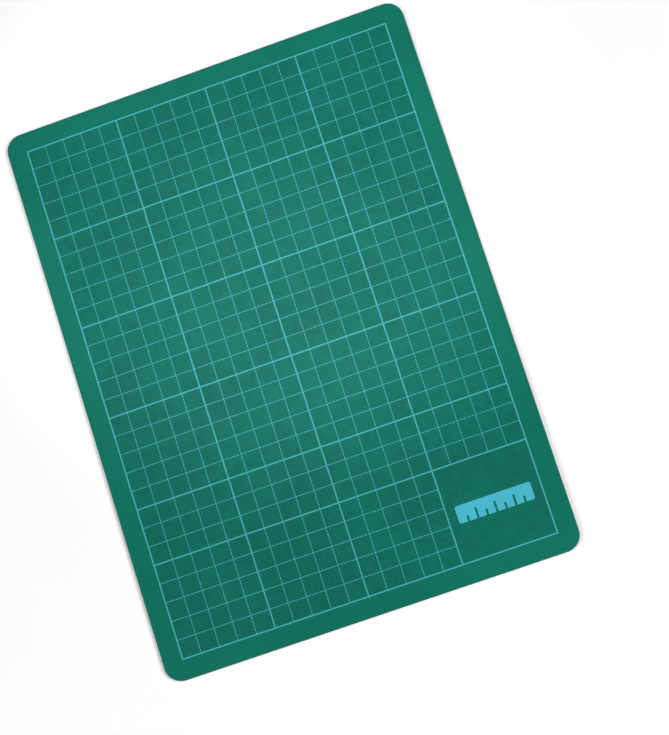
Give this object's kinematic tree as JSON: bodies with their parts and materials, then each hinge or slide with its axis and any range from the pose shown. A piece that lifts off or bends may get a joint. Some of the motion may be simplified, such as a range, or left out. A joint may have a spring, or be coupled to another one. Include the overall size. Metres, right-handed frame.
{
  "type": "self healing mat",
  "caption": "Flat double-sided cutting mat with rounded corners, a printed centimetre grid on each face and a scale bar in the corner square.",
  "frame": {"origin": "centre of the outline, on the back face the mat lies on", "axes": "+X to the right of the front print, +Y to the top of the front print, +Z out of the green front face"},
  "size_m": [0.221, 0.301, 0.003],
  "materials": {
    "vinyl_green": "matte, fine pressed dots inside the printed field",
    "vinyl_charcoal": "matte, fine pressed dots inside the printed field",
    "ink_cyan": "matte screen print",
    "ink_slate": "matte screen print",
    "stiffener": "plain cut edge",
    "core": "plain cut edge"
  },
  "bodies": {
    "root": {"back_face_ply": "vinyl_charcoal", "back_border_line": "ink_slate", "back_bold_grid": "ink_slate", "back_fine_grid": "ink_slate", "back_scale_bar": "ink_slate", "back_stiffener_ply": "stiffener", "core_ply": "core", "front_stiffener_ply": "stiffener", "front_face_ply": "vinyl_green", "front_border_line": "ink_cyan", "front_bold_grid": "ink_cyan", "front_fine_grid": "ink_cyan", "front_scale_bar": "ink_cyan"}
  },
  "joints": []
}
